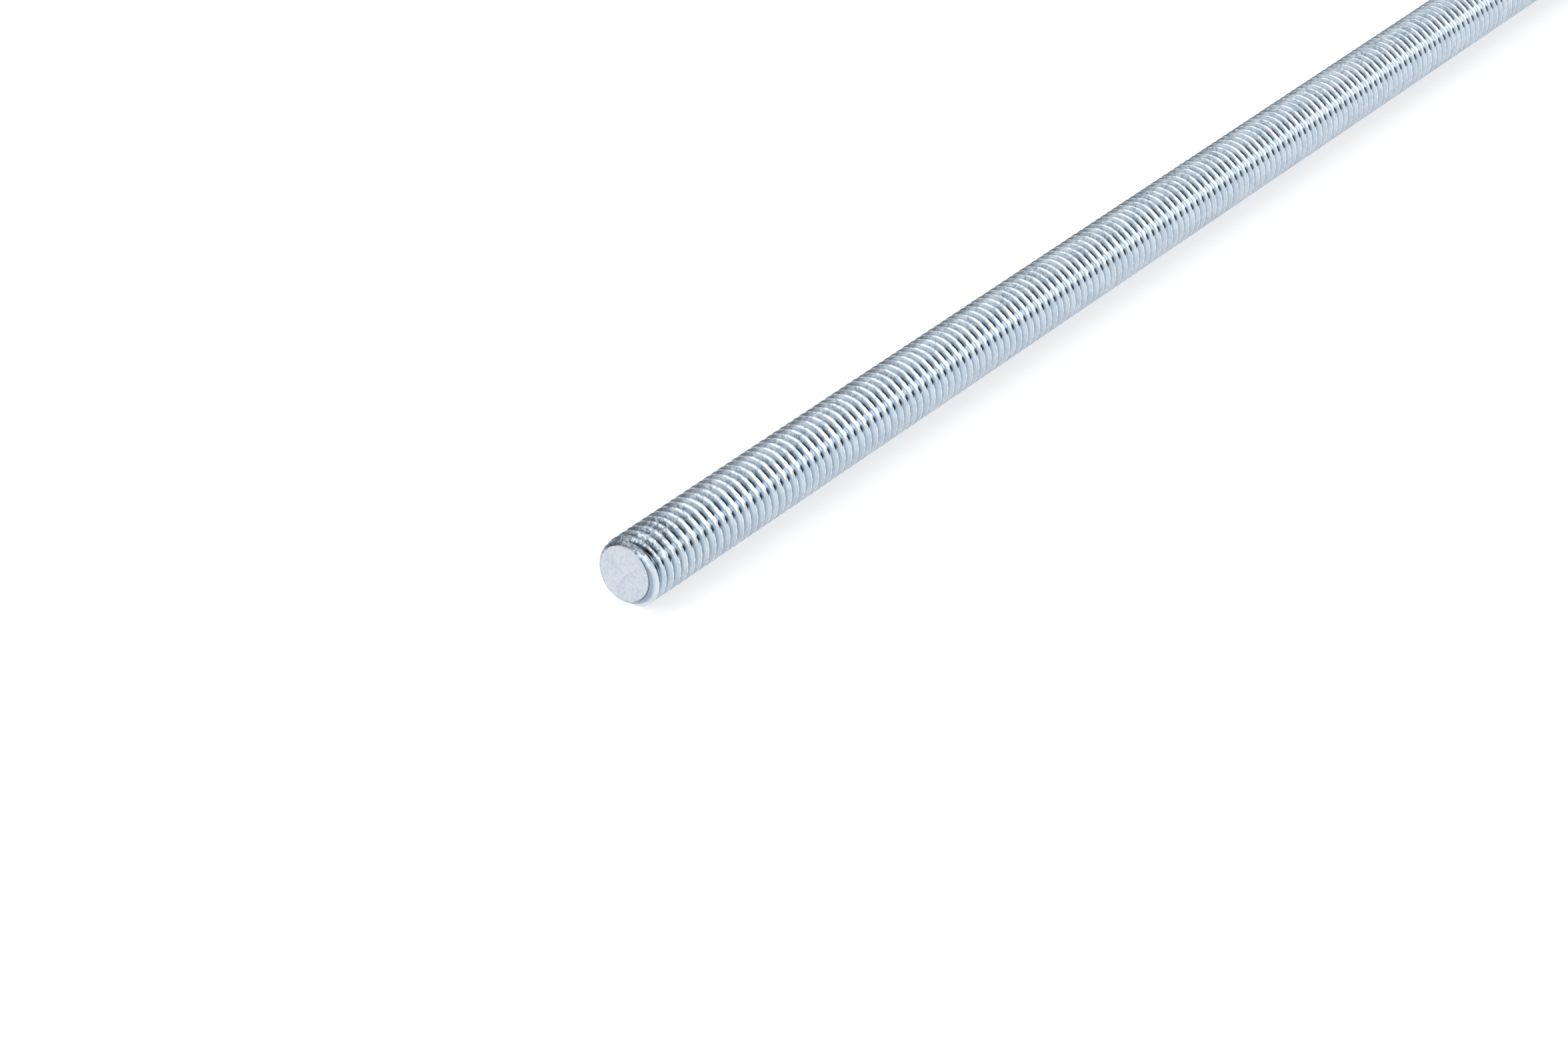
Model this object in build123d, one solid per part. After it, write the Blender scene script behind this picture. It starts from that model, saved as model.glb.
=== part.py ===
from build123d import *

import os
from math import radians, tan

# Fully threaded steel rod, M8 coarse thread, one metre long.
#
# The rod is one solid bar that lies along +X. Its origin is the centre of one end
# face, on the bar's axis, and +Z is up. The solid is the thread's outer envelope:
# a cylinder of the major diameter with a turned chamfer on each end. The helical
# groove between the crests is a fine thread, left to the visual model, which cuts
# it inside this envelope.
#
# All sizes are millimetres.

# Driving dimensions
ROD_LENGTH = 1000.0          # cut length, end face to end face
MAJOR_DIAMETER = 8.0         # over the thread crests
CHAMFER_DEPTH = 0.55         # radial depth of each end chamfer, inwards from the crests
CHAMFER_ANGLE = 45.0         # between the chamfer's cone and the rod's axis, degrees

PARTS_FOLDER = "parts"
NODE_NAME = "threaded_rod"


def chamfer_length(chamfer_depth, chamfer_angle):
    """Axial length of an end chamfer, from the flat end face to the full diameter."""
    return chamfer_depth / tan(radians(chamfer_angle))


def threaded_bar(length, major_diameter, chamfer_depth, chamfer_angle):
    """The bar as one solid of revolution: half its outline, turned about +X."""
    crest_radius = major_diameter / 2
    face_radius = crest_radius - chamfer_depth
    chamfer = chamfer_length(chamfer_depth, chamfer_angle)

    half_outline = Polyline(
        (0, 0),
        (0, face_radius),
        (chamfer, crest_radius),
        (length - chamfer, crest_radius),
        (length, face_radius),
        (length, 0),
        close=True,
    )
    return revolve(make_face(half_outline), axis=Axis.X)


def main():
    """Builds the rod and writes it as its one sub-part."""
    rod = threaded_bar(ROD_LENGTH, MAJOR_DIAMETER, CHAMFER_DEPTH, CHAMFER_ANGLE)
    rod.label = NODE_NAME

    os.makedirs(PARTS_FOLDER, exist_ok=True)
    export_step(rod, os.path.join(PARTS_FOLDER, f"{NODE_NAME}.step"))


main()
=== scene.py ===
"""A fully threaded steel rod, zinc plated, lying on a pale floor."""

import logging
import math
from dataclasses import dataclass, field
from enum import Enum
from typing import Any

import bpy
from mathutils import Matrix, Vector


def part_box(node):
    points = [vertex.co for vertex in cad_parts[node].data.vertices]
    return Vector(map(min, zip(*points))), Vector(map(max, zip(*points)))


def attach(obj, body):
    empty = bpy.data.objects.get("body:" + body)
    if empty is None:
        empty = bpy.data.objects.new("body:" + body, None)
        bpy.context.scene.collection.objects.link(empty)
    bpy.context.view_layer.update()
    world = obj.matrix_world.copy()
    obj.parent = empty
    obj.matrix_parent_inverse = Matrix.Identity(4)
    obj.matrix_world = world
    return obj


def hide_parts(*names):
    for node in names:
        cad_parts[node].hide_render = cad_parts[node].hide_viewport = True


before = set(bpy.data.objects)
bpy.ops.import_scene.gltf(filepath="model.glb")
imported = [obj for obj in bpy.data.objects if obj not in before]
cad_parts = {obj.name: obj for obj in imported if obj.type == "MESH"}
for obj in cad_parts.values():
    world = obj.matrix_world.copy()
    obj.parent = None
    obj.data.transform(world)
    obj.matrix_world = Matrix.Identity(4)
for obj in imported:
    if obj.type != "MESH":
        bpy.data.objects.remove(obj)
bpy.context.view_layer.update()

LOG = logging.getLogger("threaded_rod")
MM = 0.001
FLANK_ANGLE = math.radians(30.0)

Color = tuple[float, float, float, float]


class NodeType(Enum):
    """Node types used by the thread, the finish and the studio."""

    MATH = "ShaderNodeMath"
    MIX = "ShaderNodeMix"
    NOISE = "ShaderNodeTexNoise"
    BUMP = "ShaderNodeBump"
    COORD = "ShaderNodeTexCoord"
    SEPARATE = "ShaderNodeSeparateXYZ"
    COMBINE = "ShaderNodeCombineXYZ"
    LIGHT_PATH = "ShaderNodeLightPath"
    METAL = "ShaderNodeBsdfPrincipled"
    MATT = "ShaderNodeBsdfDiffuse"
    GLOW = "ShaderNodeEmission"
    ADD_SHADER = "ShaderNodeAddShader"
    MIX_SHADER = "ShaderNodeMixShader"
    BACKGROUND = "ShaderNodeBackground"
    SURFACE = "ShaderNodeOutputMaterial"
    ROOM = "ShaderNodeOutputWorld"
    GRID = "GeometryNodeMeshGrid"
    POSITION = "GeometryNodeInputPosition"
    SET_POSITION = "GeometryNodeSetPosition"
    MERGE = "GeometryNodeMergeByDistance"
    SHADE_SMOOTH = "GeometryNodeSetShadeSmooth"
    EDGE_ANGLE = "GeometryNodeInputMeshEdgeAngle"
    STORE = "GeometryNodeStoreNamedAttribute"
    REALIZE = "GeometryNodeRealizeInstances"
    SET_MATERIAL = "GeometryNodeSetMaterial"
    TREE_INPUT = "NodeGroupInput"
    TREE_OUTPUT = "NodeGroupOutput"


class Wire:
    """A socket that adds Math nodes when it is used in an expression."""

    def __init__(self, bench: "NodeBench", socket: bpy.types.NodeSocket) -> None:
        """Wraps a socket.

        Args:
            bench: the node bench that the socket's tree belongs to.
            socket: the output socket to wrap.
        """
        self.bench = bench
        self.socket = socket

    def __add__(self, other: Any) -> "Wire":
        """Sum."""
        return self.bench.math("ADD", self, other)

    def __radd__(self, other: Any) -> "Wire":
        """Sum, reflected."""
        return self.bench.math("ADD", other, self)

    def __sub__(self, other: Any) -> "Wire":
        """Difference."""
        return self.bench.math("SUBTRACT", self, other)

    def __rsub__(self, other: Any) -> "Wire":
        """Difference, reflected."""
        return self.bench.math("SUBTRACT", other, self)

    def __mul__(self, other: Any) -> "Wire":
        """Product."""
        return self.bench.math("MULTIPLY", self, other)

    def __rmul__(self, other: Any) -> "Wire":
        """Product, reflected."""
        return self.bench.math("MULTIPLY", other, self)

    def clamp(self) -> "Wire":
        """The value kept between 0 and 1."""
        return self.bench.math("MINIMUM", self.bench.math("MAXIMUM", self, 0.0), 1.0)

    def rise(self, low: float, high: float) -> "Wire":
        """A ramp from 0 at the low value to 1 at the high one."""
        return ((self - low) * (1 / (high - low))).clamp()

    def step(self, edge: float, softness: float) -> "Wire":
        """A soft step, 0 below the edge and 1 above it."""
        return ((self - edge) * (1 / softness) + 0.5).clamp()


class NodeBench:
    """Adds nodes to one tree."""

    def __init__(self, tree: bpy.types.NodeTree) -> None:
        """Starts on an empty tree.

        Args:
            tree: the node tree, which is cleared.
        """
        self.tree = tree
        tree.nodes.clear()

    def raw(self, kind: NodeType, settings: dict[str, Any], inputs: dict[Any, Any]) -> bpy.types.Node:
        """Adds a node, sets its settings and then its inputs.

        Args:
            kind: which node to add.
            settings: the node's own properties.
            inputs: input socket name or index to a value or a wire.

        Returns:
            The new node.
        """
        node = self.tree.nodes.new(kind.value)
        for name, value in settings.items():
            setattr(node, name, value)
        for key, value in inputs.items():
            self._plug(node.inputs[key], value)
        return node

    def add(
        self, kind: NodeType, settings: dict[str, Any], inputs: dict[Any, Any], output: Any = 0,
    ) -> Wire:
        """Adds a node and gives one of its outputs.

        Args:
            kind: which node to add.
            settings: the node's own properties.
            inputs: input socket name or index to a value or a wire.
            output: the output socket's name or index.

        Returns:
            The output as a wire.
        """
        return Wire(self, self.raw(kind, settings, inputs).outputs[output])

    def math(self, operation: str, *values: Any) -> Wire:
        """Adds one Math node.

        Args:
            operation: the Math node's operation.
            *values: numbers or wires, in the node's input order.

        Returns:
            The node's value.
        """
        return self.add(NodeType.MATH, {"operation": operation}, dict(enumerate(values)))

    def split(self, vector: Wire) -> tuple[Wire, Wire, Wire]:
        """Parts a vector.

        Args:
            vector: the vector to part.

        Returns:
            Its x, y and z.
        """
        node = self.raw(NodeType.SEPARATE, {}, {0: vector})
        return Wire(self, node.outputs[0]), Wire(self, node.outputs[1]), Wire(self, node.outputs[2])

    def blend(self, factor: Any, first: Any, second: Any) -> Wire:
        """Mixes two colours.

        Args:
            factor: how much of the second, from 0 to 1.
            first: the first colour.
            second: the second colour.

        Returns:
            The mixed colour.
        """
        return self.add(NodeType.MIX, {"data_type": "RGBA"}, {0: factor, 6: first, 7: second}, 2)

    def _plug(self, socket: bpy.types.NodeSocket, value: Any) -> None:
        """Links a wire to a socket, or sets the socket's own value."""
        if isinstance(value, Wire):
            self.tree.links.new(value.socket, socket)
        else:
            socket.default_value = value


@dataclass(frozen=True)
class ThreadForm:
    """The section of a metric coarse thread, in millimetres."""

    major_diameter: float = 8.0
    pitch: float = 1.25
    root_diameter: float = 6.62
    crest_flat: float = 0.15
    start: float = 2.181

    @property
    def flank(self) -> float:
        """Length of one flank along the axis, at 30 degrees from the radius."""
        depth = (self.major_diameter - self.root_diameter) / 2
        return depth * math.tan(FLANK_ANGLE)

    @property
    def root_flat(self) -> float:
        """Length of the root along the axis, which is what the flanks and the crest leave."""
        return self.pitch - self.crest_flat - 2 * self.flank


@dataclass(frozen=True)
class RodEnds:
    """The chamfer on both ends, in millimetres, which goes deeper on one side of the near end."""

    chamfer_depth: float = 0.55
    uneven_cut: float = 0.30
    uneven_side: tuple[float, float] = (-0.80, -0.60)
    burr_length: float = 1.25
    burr_height: float = 0.32
    fine_step: float = 0.05
    fine_rows: int = 46


@dataclass
class ThreadTree:
    """Geometry Nodes that wind the thread's section along the rod and close its ends."""

    form: ThreadForm
    ends: RodEnds
    steps: int = 28
    rows_per_turn: int = 4
    weld: float = 1e-6
    end_reach: float = 1e-5
    sharp_from: float = math.radians(28.0)
    sharp_height: float = 0.75
    inputs: dict[str, Wire] = field(default_factory=dict)

    NUMBERS = ("Length", "Major Radius", "Root Radius", "Pitch", "Crest Flat", "Flank", "Start",
               "Chamfer Depth", "Uneven Cut", "Burr Length", "Burr Height", "Fine Step")

    def build(self, length: float, material: bpy.types.Material) -> bpy.types.NodeTree:
        """Makes the tree.

        Args:
            length: the rod's length in metres.
            material: the finish that the rod gets.

        Returns:
            The node tree, with its inputs' values as defaults.
        """
        tree = bpy.data.node_groups.new("wound_thread", "GeometryNodeTree")
        bench = NodeBench(tree)
        values = self.values(length)
        for name in self.NUMBERS:
            socket = tree.interface.new_socket(name, in_out="INPUT", socket_type="NodeSocketFloat")
            socket.default_value = values[name]
        tree.interface.new_socket("Material", in_out="INPUT", socket_type="NodeSocketMaterial")
        tree.interface.new_socket("Geometry", in_out="OUTPUT", socket_type="NodeSocketGeometry")
        source = bench.raw(NodeType.TREE_INPUT, {}, {})
        self.inputs = {name: Wire(bench, source.outputs[name]) for name in (*self.NUMBERS, "Material")}
        mesh = self._surface(bench, self._row_count(length))
        bench.raw(NodeType.TREE_OUTPUT, {}, {"Geometry": mesh})
        return tree

    def values(self, length: float) -> dict[str, float]:
        """Works out the tree's sizes.

        Args:
            length: the rod's length in metres.

        Returns:
            Each input's name and its size in metres.
        """
        form, ends = self.form, self.ends
        return {
            "Length": length,
            "Major Radius": form.major_diameter / 2 * MM,
            "Root Radius": form.root_diameter / 2 * MM,
            "Pitch": form.pitch * MM,
            "Crest Flat": form.crest_flat * MM,
            "Flank": form.flank * MM,
            "Start": form.start * MM,
            "Chamfer Depth": ends.chamfer_depth * MM,
            "Uneven Cut": ends.uneven_cut * MM,
            "Burr Length": ends.burr_length * MM,
            "Burr Height": ends.burr_height * MM,
            "Fine Step": ends.fine_step * MM,
        }

    def _turns(self, length: float) -> int:
        """Whole turns that lie between the fine rows of the two ends."""
        return math.floor((length / MM - 2 * self.form.start) / self.form.pitch)

    def _row_count(self, length: float) -> int:
        """Rows of the wound grid, without the two that close the ends."""
        return self._turns(length) * self.rows_per_turn + 2 * self.ends.fine_rows

    def _row_place(self, bench: NodeBench, row: Wire, rows: int) -> Wire:
        """Finds where a row starts along the axis, on the section's corners except near the ends.

        Args:
            bench: the tree's bench.
            row: the row's number.
            rows: how many rows there are.

        Returns:
            The place in metres, which may lie past an end.
        """
        own = self.inputs
        fine = self.ends.fine_rows
        near = (row - self.rows_per_turn) * own["Fine Step"]
        far = own["Length"] - ((rows - 1 - row) - self.rows_per_turn) * own["Fine Step"]
        local = row - fine
        turn = bench.math("FLOOR", (local + 0.5) * (1 / self.rows_per_turn))
        corner = local - turn * self.rows_per_turn
        root_flat = own["Pitch"] - own["Crest Flat"] - own["Flank"] * 2
        wound = own["Start"] + turn * own["Pitch"]
        for index, size in enumerate((own["Crest Flat"], own["Flank"], root_flat)):
            wound = wound + bench.math("GREATER_THAN", corner, index + 0.5) * size
        in_near = bench.math("LESS_THAN", row, fine - 0.5)
        in_far = bench.math("GREATER_THAN", row, rows - fine - 0.5)
        middle = wound * (1 - in_near) * (1 - in_far)
        return middle + near * in_near + far * in_far

    def _surface(self, bench: NodeBench, rows: int) -> Wire:
        """Winds a flat grid into the closed surface of the rod.

        Args:
            bench: the tree's bench.
            rows: rows of the wound grid.

        Returns:
            The dressed mesh.
        """
        own = self.inputs
        flat = bench.add(NodeType.GRID, {}, {
            "Size X": float(self.steps), "Size Y": float(rows + 1),
            "Vertices X": self.steps + 1, "Vertices Y": rows + 2,
        }, "Mesh")
        flat_x, flat_y, _ = bench.split(bench.add(NodeType.POSITION, {}, {}))
        column = bench.math("ROUND", flat_x + self.steps / 2)
        raw_row = bench.math("ROUND", flat_y + (rows + 1) / 2) - 1
        share = column * (1 / self.steps)
        row = bench.math("MINIMUM", bench.math("MAXIMUM", raw_row, 0.0), float(rows - 1))
        here = self._row_place(bench, row, rows)
        next_turn = self._row_place(bench, row + self.rows_per_turn, rows)
        along = here + (next_turn - here) * share
        along = bench.math("MINIMUM", bench.math("MAXIMUM", along, 0.0), own["Length"])
        angle = share * math.tau - math.pi / 2
        across, up = bench.math("COSINE", angle), bench.math("SINE", angle)
        lean = (across * self.ends.uneven_side[0] + up * self.ends.uneven_side[1]).clamp()
        radius = self._radius(bench, along, share, lean)
        is_cap = bench.math("LESS_THAN", raw_row, -0.5) + bench.math("GREATER_THAN", raw_row, rows - 0.5)
        radius = radius * (1 - is_cap)
        point = bench.add(NodeType.COMBINE, {}, {0: along, 1: radius * across, 2: radius * up})
        moved = bench.add(NodeType.SET_POSITION, {}, {"Geometry": flat, "Position": point})
        merged = bench.add(NodeType.MERGE, {}, {"Geometry": moved, "Distance": self.weld})
        smooth = bench.add(NodeType.SHADE_SMOOTH, {"domain": "FACE"}, {
            "Geometry": merged, "Shade Smooth": True,
        })
        real = bench.add(NodeType.REALIZE, {}, {"Geometry": self._sharp(bench, smooth)})
        return bench.add(NodeType.SET_MATERIAL, {}, {"Geometry": real, "Material": own["Material"]})

    def _radius(self, bench: NodeBench, along: Wire, share: Wire, lean: Wire) -> Wire:
        """Finds the thread's radius, with the end chamfers and the near end's burr.

        Args:
            bench: the tree's bench.
            along: the place along the axis.
            share: the share of a turn, from 0 to 1.
            lean: how far the angle leans to the side that is cut deeper, from 0 to 1.

        Returns:
            The radius in metres.
        """
        own = self.inputs
        half_crest = own["Crest Flat"] * 0.5
        turn = bench.math("DIVIDE", along - own["Start"] - half_crest, own["Pitch"]) - share
        off = turn - bench.math("ROUND", turn)
        from_crest = bench.math("ABSOLUTE", off) * own["Pitch"]
        below = bench.math("MAXIMUM", from_crest - half_crest, 0.0) * (1 / math.tan(FLANK_ANGLE))
        thread = bench.math("MAXIMUM", own["Major Radius"] - below, own["Root Radius"])
        past_burr = bench.math("DIVIDE", along - own["Burr Length"], own["Burr Length"] * 0.35)
        burr = (1 - past_burr).clamp() * lean
        thread = bench.math("MAXIMUM", thread, own["Root Radius"] + burr * own["Burr Height"])
        near = bench.math("LESS_THAN", along, own["Length"] * 0.5)
        from_end = bench.math("MINIMUM", along, own["Length"] - along)
        edge = own["Major Radius"] - own["Chamfer Depth"] - own["Uneven Cut"] * lean * near
        return bench.math("MINIMUM", thread, edge + from_end)

    def _sharp(self, bench: NodeBench, mesh: Wire) -> Wire:
        """Marks the crest's and the end faces' edges as sharp, and leaves the root's smooth.

        Args:
            bench: the tree's bench.
            mesh: the wound mesh.

        Returns:
            The mesh with its sharp edges stored.
        """
        own = self.inputs
        bend = bench.add(NodeType.EDGE_ANGLE, {}, {})
        x, side, height = bench.split(bench.add(NodeType.POSITION, {}, {}))
        out = bench.math("SQRT", side * side + height * height)
        from_end = bench.math("MINIMUM", x, own["Length"] - x)
        crest_from = own["Root Radius"] + (own["Major Radius"] - own["Root Radius"]) * self.sharp_height
        high = bench.math("GREATER_THAN", out, crest_from)
        at_end = bench.math("LESS_THAN", from_end, self.end_reach)
        wide = bench.math("GREATER_THAN", bend, self.sharp_from)
        return bench.add(NodeType.STORE, {"data_type": "BOOLEAN", "domain": "EDGE"}, {
            "Geometry": mesh, "Name": "sharp_edge",
            "Value": bench.math("GREATER_THAN", wide * (high + at_end), 0.5),
        })


@dataclass(frozen=True)
class ZincPlate:
    """Bright blue-white zinc plating on rolled steel, with scuffs and a sawn, plated end."""

    slot: str = "zinc_plated_steel"
    pale: Color = (0.60, 0.67, 0.74, 1.0)
    cloudy: Color = (0.49, 0.57, 0.65, 1.0)
    # Painted shade: the groove colours make the thread's roots darker and bluer than the plating, and
    # darker still near the ends, where dirt is added.
    groove_shade: Color = (0.21, 0.31, 0.43, 1.0)
    groove_shade_dirty: Color = (0.15, 0.225, 0.315, 1.0)
    # Painted highlight: the crest colour makes the tops of the crests paler than the plating.
    crest: Color = (0.86, 0.875, 0.89, 1.0)
    scuff: Color = (0.055, 0.08, 0.115, 1.0)
    # Partly wear and partly a painted highlight: the near end's chamfer band is coloured paler than the
    # plating.
    burr: Color = (0.86, 0.90, 0.94, 1.0)
    # A darker grey laid over the upper side, stronger near the ends.
    upper_side_grey: Color = (0.36, 0.40, 0.44, 1.0)
    rust: Color = (0.30, 0.22, 0.15, 1.0)
    cut_face: Color = (0.62, 0.67, 0.725, 1.0)
    stain: Color = (0.47, 0.54, 0.61, 1.0)
    scuffed_length: float = 0.030
    scuffed_side: tuple[float, float] = (0.32, 0.95)
    side_zone: tuple[float, float] = (0.10, 0.75)
    shaded_groove_zone: tuple[float, float] = (0.16, 0.62)
    crest_zone: tuple[float, float] = (0.93, 0.99)
    worn_zone: tuple[float, float] = (0.002, 0.011)
    burr_zone: tuple[float, float] = (0.0008, 0.0012)
    face_zone: tuple[float, float] = (0.000004, 0.00003)
    rim_zone: tuple[float, float] = (0.00007, 0.00021)
    cloud_scale: float = 700.0
    grain_scale: float = 4600.0
    speck_scale: float = 2600.0
    plate_roughness: float = 0.085
    dull_roughness: float = 0.22
    face_roughness: float = 0.42
    bump_strength: float = 0.10
    bump_depth: float = 0.00002

    def material(self, form: ThreadForm, ends: RodEnds, length: float) -> bpy.types.Material:
        """Builds the finish.

        Args:
            form: the thread's section.
            ends: the end chamfers.
            length: the rod's length in metres.

        Returns:
            The material.
        """
        material = bpy.data.materials.new(self.slot)
        material.use_nodes = True
        bench = NodeBench(material.node_tree)
        spot = bench.add(NodeType.COORD, {}, {}, "Object")
        x, y, z = bench.split(spot)
        out = bench.math("SQRT", y * y + z * z)
        root, major = form.root_diameter / 2 * MM, form.major_diameter / 2 * MM
        height = ((out - root) * (1 / (major - root))).clamp()
        from_end = bench.math("MINIMUM", x, length - x)
        noises = self._noises(bench, spot)
        cloud, grain, speck = noises

        # Painted shade: this mask marks the thread's roots, which are coloured darker.
        in_shaded_groove = 1 - height.rise(*self.shaded_groove_zone)
        on_crest = height.rise(*self.crest_zone)
        near_end = 1 - from_end.rise(0.0, self.scuffed_length)
        by_end = 1 - from_end.rise(*self.worn_zone)
        on_face = 1 - from_end.rise(*self.face_zone)
        toward_side = (y * self.scuffed_side[0] + z * self.scuffed_side[1]) * (1 / major)
        on_side = toward_side.rise(*self.side_zone)

        worn = (0.66 + near_end * 0.20 + by_end * 0.40).clamp()
        patches = speck.rise(0.45, 0.54) * (0.25 + by_end * 0.60 + cloud.rise(0.42, 0.56) * 0.75).clamp()
        scuffs = patches * on_side * worn * (0.62 + in_shaded_groove * 0.38)
        specks = speck.rise(0.66, 0.72) * (0.25 + near_end * 0.5)
        rust = grain.rise(0.60, 0.70) * on_crest * 0.55

        # Only the near end is cut deeper on one side, so only its rim and its burr lean that way.
        toward_cut = y * ends.uneven_side[0] + z * ends.uneven_side[1]
        lean = bench.math("DIVIDE", toward_cut, out).clamp() * bench.math("LESS_THAN", x, length * 0.5)
        worn_highlight_band = (1 - from_end.rise(*self.burr_zone)) * lean.rise(0.05, 0.45)
        inside = (major / MM - ends.chamfer_depth) * MM - lean * (ends.uneven_cut * MM) - out

        color = bench.blend(cloud.rise(0.35, 0.65), self.pale, self.cloudy)
        # Painted shade in the roots, with dirt added near the ends.
        groove_shade = bench.blend(near_end, self.groove_shade, self.groove_shade_dirty)
        color = bench.blend(in_shaded_groove * 0.85, color, groove_shade)
        # Painted highlight along the crests.
        color = bench.blend(on_crest * 0.7, color, self.crest)
        # Darker grey over the upper side, stronger within about a centimetre of each end.
        color = bench.blend(on_side * (0.20 + by_end * 0.55), color, self.upper_side_grey)
        color = bench.blend(rust, color, self.rust)
        # The near end's chamfer band is rougher with wear and painted paler as a highlight.
        color = bench.blend(worn_highlight_band * (1 - in_shaded_groove * 0.6) * 0.45, color, self.burr)
        color = bench.blend((scuffs + specks).clamp(), color, self.scuff)
        color = bench.blend(on_face, color, self._face(bench, y, inside, major, noises))

        roughness = self.plate_roughness + cloud * 0.07 + (scuffs + specks) * self.dull_roughness
        roughness = roughness + worn_highlight_band * self.dull_roughness
        roughness = roughness + on_face * (self.face_roughness - roughness)
        bump = bench.add(NodeType.BUMP, {}, {
            "Strength": self.bump_strength, "Distance": self.bump_depth, "Height": grain + scuffs,
        })
        shader = bench.add(NodeType.METAL, {}, {
            "Base Color": color, "Metallic": 1.0, "Roughness": roughness, "Normal": bump,
        })
        bench.raw(NodeType.SURFACE, {}, {"Surface": shader})
        return material

    def _noises(self, bench: NodeBench, spot: Wire) -> tuple[Wire, Wire, Wire]:
        """Adds the finish's three noises.

        Args:
            bench: the finish's bench.
            spot: the place on the rod.

        Returns:
            The clouds, the grain and the specks.
        """
        cloud = bench.add(NodeType.NOISE, {}, {"Vector": spot, "Scale": self.cloud_scale, "Detail": 4.0})
        grain = bench.add(NodeType.NOISE, {}, {"Vector": spot, "Scale": self.grain_scale, "Detail": 3.0})
        speck = bench.add(NodeType.NOISE, {}, {
            "Vector": spot, "Scale": self.speck_scale, "Detail": 5.0, "Roughness": 0.7,
        })
        return cloud, grain, speck

    def _face(
        self, bench: NodeBench, y: Wire, inside: Wire, major: float, noises: tuple[Wire, Wire, Wire],
    ) -> Wire:
        """Colours a cut face: stained all over, rusty in spots along its rim, and dark along the rim
        towards -y.

        Args:
            bench: the finish's bench.
            y: the place across the rod.
            inside: the distance in from the face's rim.
            major: the crest's radius in metres.
            noises: the clouds, the grain and the specks.

        Returns:
            The face's colour.
        """
        cloud, grain, speck = noises
        stains = speck.rise(0.46, 0.60) * 0.60 + cloud.rise(0.46, 0.66) * 0.35
        rim = 1 - inside.rise(*self.rim_zone)
        crescent = rim * (y * -1).rise(major * 0.20, major * 0.55)
        face = bench.blend(stains, self.cut_face, self.stain)
        face = bench.blend(grain.rise(0.66, 0.72) * 0.35, face, self.scuff)
        face = bench.blend(rim * grain.rise(0.46, 0.60) * 0.45, face, self.rust)
        # A dark crescent along the rim on the -y side of each face.
        return bench.blend(crescent * 0.85, face, self.scuff)


@dataclass
class ThreadedRod:
    """The rod: one length of thread-rolled bar."""

    form: ThreadForm = field(default_factory=ThreadForm)
    ends: RodEnds = field(default_factory=RodEnds)
    finish: ZincPlate = field(default_factory=ZincPlate)
    node: str = "threaded_rod"

    def build(self) -> bpy.types.Object:
        """Makes the rod as one closed mesh.

        Returns:
            The rod's object, at the origin.
        """
        low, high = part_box(self.node)
        length = high[0] - low[0]
        material = self.finish.material(self.form, self.ends, length)
        thread = ThreadTree(self.form, self.ends)
        tree = thread.build(length, material)
        blank = bpy.data.objects.new("thread_blank", bpy.data.meshes.new("thread_blank"))
        bpy.context.scene.collection.objects.link(blank)
        modifier = blank.modifiers.new("wound_thread", "NODES")
        modifier.node_group = tree
        given = {**thread.values(length), "Material": material}
        for item in tree.interface.items_tree:
            if item.in_out == "INPUT":
                modifier[item.identifier] = given[item.name]
        bpy.context.view_layer.update()
        evaluated = blank.evaluated_get(bpy.context.evaluated_depsgraph_get())
        mesh = bpy.data.meshes.new_from_object(evaluated)
        bpy.data.objects.remove(blank)
        mesh.name = "rolled_thread_rod"
        rod = bpy.data.objects.new("rolled_thread_rod", mesh)
        bpy.context.scene.collection.objects.link(rod)
        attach(rod, "root")
        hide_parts(self.node)
        return rod


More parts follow.
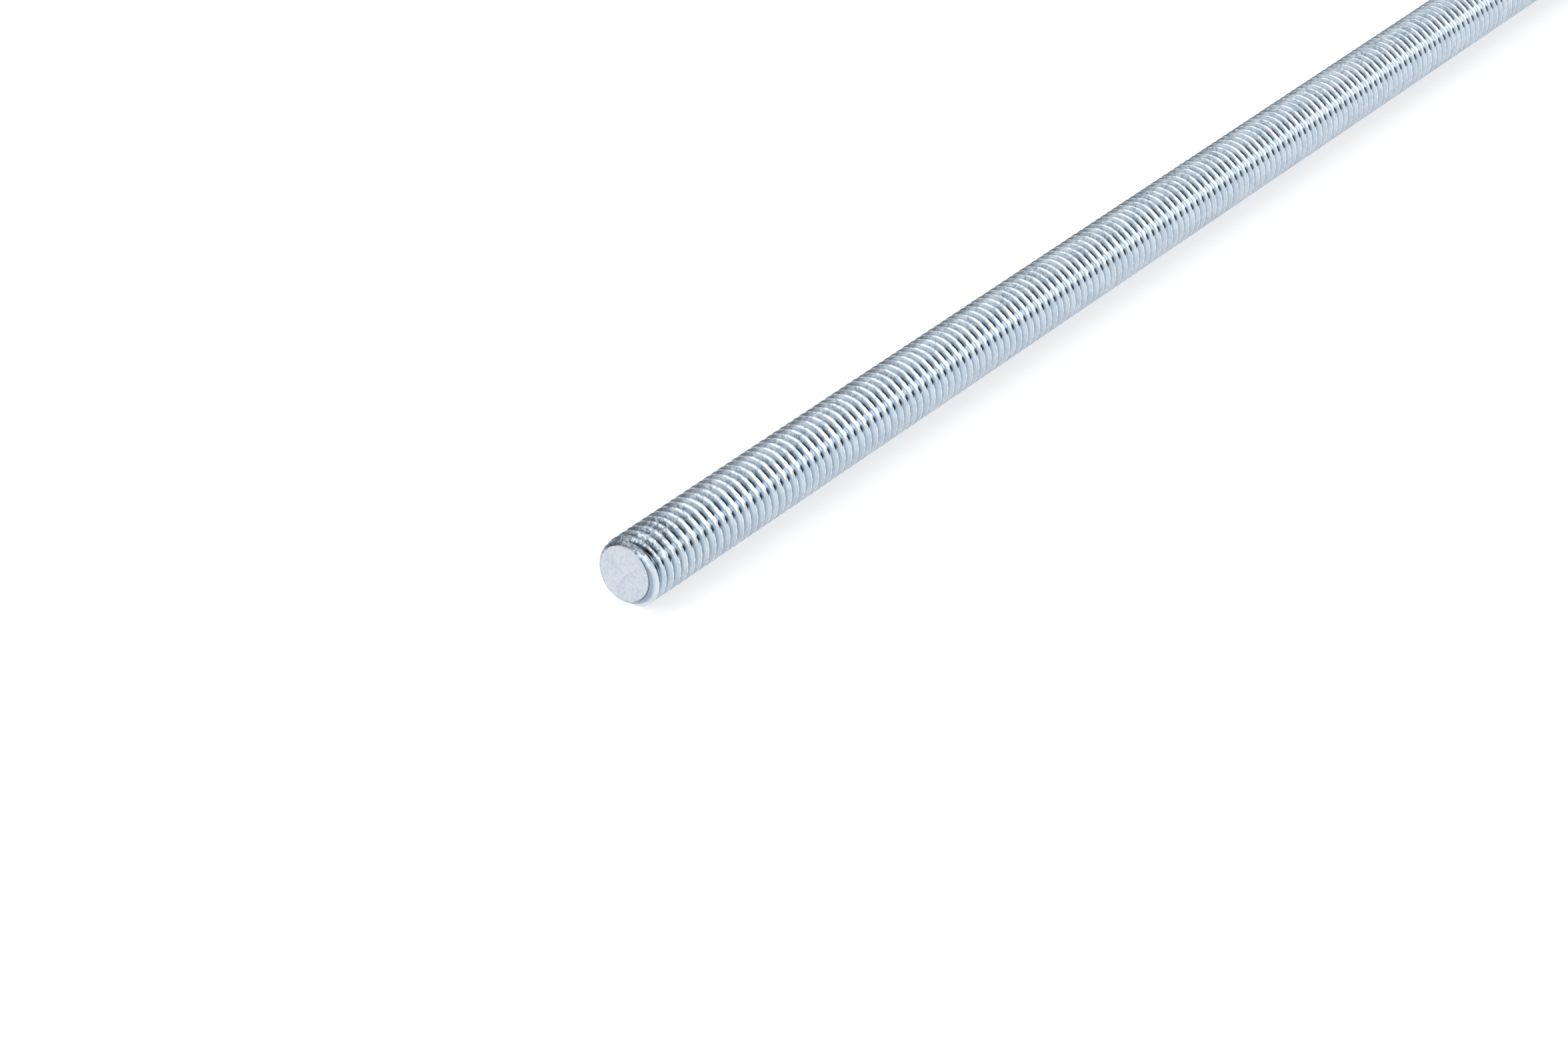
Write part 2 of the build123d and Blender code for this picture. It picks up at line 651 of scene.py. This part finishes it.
@dataclass
class Studio:
    """The floor, the soft light round the rod and the camera."""

    floor_size: float = 26.0
    eye: tuple[float, float, float] = (-0.34664, -0.27540, 0.26300)
    forward: tuple[float, float, float] = (0.69729, 0.51201, -0.50162)
    lens: float = 111.4
    sensor: float = 36.0
    nearest: float = 0.01
    floor_glow: float = 0.59
    floor_seen: Color = (0.60, 0.60, 0.60, 1.0)
    floor_plain: Color = (0.85, 0.85, 0.85, 1.0)
    white: Color = (1.0, 1.0, 1.0, 1.0)
    room_light: float = 1.0
    tent_radius: float = 7.0
    tent_reach: tuple[float, float] = (-5.1, 10.5)
    tent_facet: float = 3.0
    tent_fade: tuple[float, float] = (1.6, 2.8)
    dark_to: float = 83.0
    dark_softness: float = 18.0
    wall_from: float = 150.0
    wall_softness: float = 24.0
    pale_cloth: Color = (1.10, 1.12, 1.14, 1.0)
    wall_cloth: Color = (0.36, 0.38, 0.40, 1.0)
    dark_cloth: Color = (0.02, 0.025, 0.03, 1.0)
    lamp_height: float = 32.0
    lamp_distance: float = 1.2
    lamp_along: float = 1.2
    strip_size: tuple[float, float] = (4.0, 0.46)
    strip_power: float = 7.6
    end_place: tuple[float, float, float] = (-1.6, 0.0, 0.65)
    end_size: tuple[float, float] = (2.4, 1.2)
    end_power: float = 11.0

    def floor(self, level: float) -> bpy.types.Object:
        """Lays the pale floor.

        Args:
            level: the floor's height in metres.

        Returns:
            The floor.
        """
        half = self.floor_size / 2
        mesh = bpy.data.meshes.new("floor")
        corners = [(-half, -half, level), (half, -half, level), (half, half, level), (-half, half, level)]
        mesh.from_pydata(corners, [], [(0, 1, 2, 3)])
        floor = bpy.data.objects.new("floor", mesh)
        bpy.context.scene.collection.objects.link(floor)
        material = bpy.data.materials.new("pale_floor")
        material.use_nodes = True
        bench = NodeBench(material.node_tree)
        rays = bench.raw(NodeType.LIGHT_PATH, {}, {})
        seen = (Wire(bench, rays.outputs["Is Camera Ray"]) + Wire(bench, rays.outputs["Is Glossy Ray"])
                + Wire(bench, rays.outputs["Is Transmission Ray"])).clamp()
        plain = bench.add(NodeType.MATT, {}, {"Color": self.floor_plain})
        shaded = bench.add(NodeType.MATT, {}, {"Color": self.floor_seen})
        glow = bench.add(NodeType.GLOW, {}, {"Color": self.white, "Strength": self.floor_glow})
        lifted = bench.add(NodeType.ADD_SHADER, {}, {0: shaded, 1: glow})
        look = bench.add(NodeType.MIX_SHADER, {}, {0: seen, 1: plain, 2: lifted})
        bench.raw(NodeType.SURFACE, {}, {"Surface": look})
        mesh.materials.append(material)
        return floor

    def light(self) -> None:
        """Sets the room's even white, and hangs the tent and the softboxes."""
        world = bpy.data.worlds.new("room")
        bpy.context.scene.world = world
        world.use_nodes = True
        bench = NodeBench(world.node_tree)
        room = bench.add(NodeType.BACKGROUND, {}, {"Color": self.white, "Strength": self.room_light})
        bench.raw(NodeType.ROOM, {}, {"Surface": room})
        self._tent()
        lean = math.radians(self.lamp_height)
        reach = self.lamp_distance
        strip = Vector((self.lamp_along, -math.cos(lean) * reach, math.sin(lean) * reach))
        self._softbox(
            "strip_softbox", strip, Vector((self.lamp_along, 0.0, 0.0)), self.strip_size, self.strip_power)
        level = Vector((0.0, 0.0, self.end_place[2]))
        self._softbox("end_softbox", Vector(self.end_place), level, self.end_size, self.end_power)

    def _tent(self) -> bpy.types.Object:
        """Puts a half-round tent of graded cloth over the rod: dark overhead and in front, pale behind.

        Returns:
            The tent, which lights the rod and shows in its gloss, but doesn't stand in a view's way.
        """
        radius, (start, stop) = self.tent_radius, self.tent_reach
        facets = int(180 / self.tent_facet)
        arc = [math.radians(self.tent_facet * step) for step in range(facets + 1)]
        ring = [(-radius * math.cos(angle), radius * math.sin(angle)) for angle in arc]
        corners = [(place, y, z) for y, z in ring for place in (start, stop)]
        faces = [(2 * index, 2 * index + 1, 2 * index + 3, 2 * index + 2) for index in range(len(ring) - 1)]
        mesh = bpy.data.meshes.new("light_tent")
        mesh.from_pydata(corners, [], faces)
        tent = bpy.data.objects.new("light_tent", mesh)
        bpy.context.scene.collection.objects.link(tent)
        tent.visible_camera = False

        material = bpy.data.materials.new("tent_cloth")
        material.use_nodes = True
        bench = NodeBench(material.node_tree)
        x, y, z = bench.split(bench.add(NodeType.COORD, {}, {}, "Object"))
        turn = bench.math("ARCTAN2", z, y * -1) * math.degrees(1.0)
        fade_from, fade_over = self.tent_fade
        dark = (turn * -1).step(-self.dark_to, self.dark_softness) * x.step(start + fade_from, fade_over)
        wall = turn.step(self.wall_from, self.wall_softness)
        shade = bench.blend(wall, self.pale_cloth, self.wall_cloth)
        shade = bench.blend(dark, shade, self.dark_cloth)
        glow = bench.add(NodeType.GLOW, {}, {"Color": shade, "Strength": 1.0})
        bench.raw(NodeType.SURFACE, {}, {"Surface": glow})
        mesh.materials.append(material)
        return tent

    @staticmethod
    def _softbox(name: str, place: Vector, aim: Vector, size: tuple[float, float], power: float) -> None:
        """Adds one rectangular lamp.

        Args:
            name: the lamp's name.
            place: its centre.
            aim: the point that it faces.
            size: its length, along the rod where it can be, and its width, in metres.
            power: watts.
        """
        lamp = bpy.data.lights.new(name, "AREA")
        lamp.shape = "RECTANGLE"
        lamp.size, lamp.size_y = size
        lamp.energy = power
        holder = bpy.data.objects.new(name, lamp)
        normal = (place - aim).normalized()
        along = Vector((0.0, 1.0, 0.0)) if abs(normal.x) > 0.9 else Vector((1.0, 0.0, 0.0))
        turned = Matrix((along, normal.cross(along), normal)).transposed()
        holder.matrix_world = Matrix.Translation(place) @ turned.to_4x4()
        holder.visible_camera = False
        bpy.context.scene.collection.objects.link(holder)

    def camera(self) -> None:
        """Sets the camera level, at the near end."""
        camera = bpy.data.cameras.new("camera")
        camera.lens = self.lens
        camera.sensor_width = self.sensor
        camera.clip_start = self.nearest
        holder = bpy.data.objects.new("camera", camera)
        aim = Vector(self.forward).to_track_quat("-Z", "Y").to_matrix().to_4x4()
        holder.matrix_world = Matrix.Translation(self.eye) @ aim
        bpy.context.scene.collection.objects.link(holder)
        bpy.context.scene.camera = holder


def main() -> None:
    """Builds the rod and the studio round it."""
    bpy.context.scene.view_settings.view_transform = "Standard"
    rod = ThreadedRod().build()
    LOG.info("%s: %d vertices, %d faces", rod.name, len(rod.data.vertices), len(rod.data.polygons))
    studio = Studio()
    studio.floor(min(vertex.co.z for vertex in rod.data.vertices))
    studio.light()
    studio.camera()


if __name__ == "__main__":
    logging.basicConfig(level=logging.INFO)
    main()
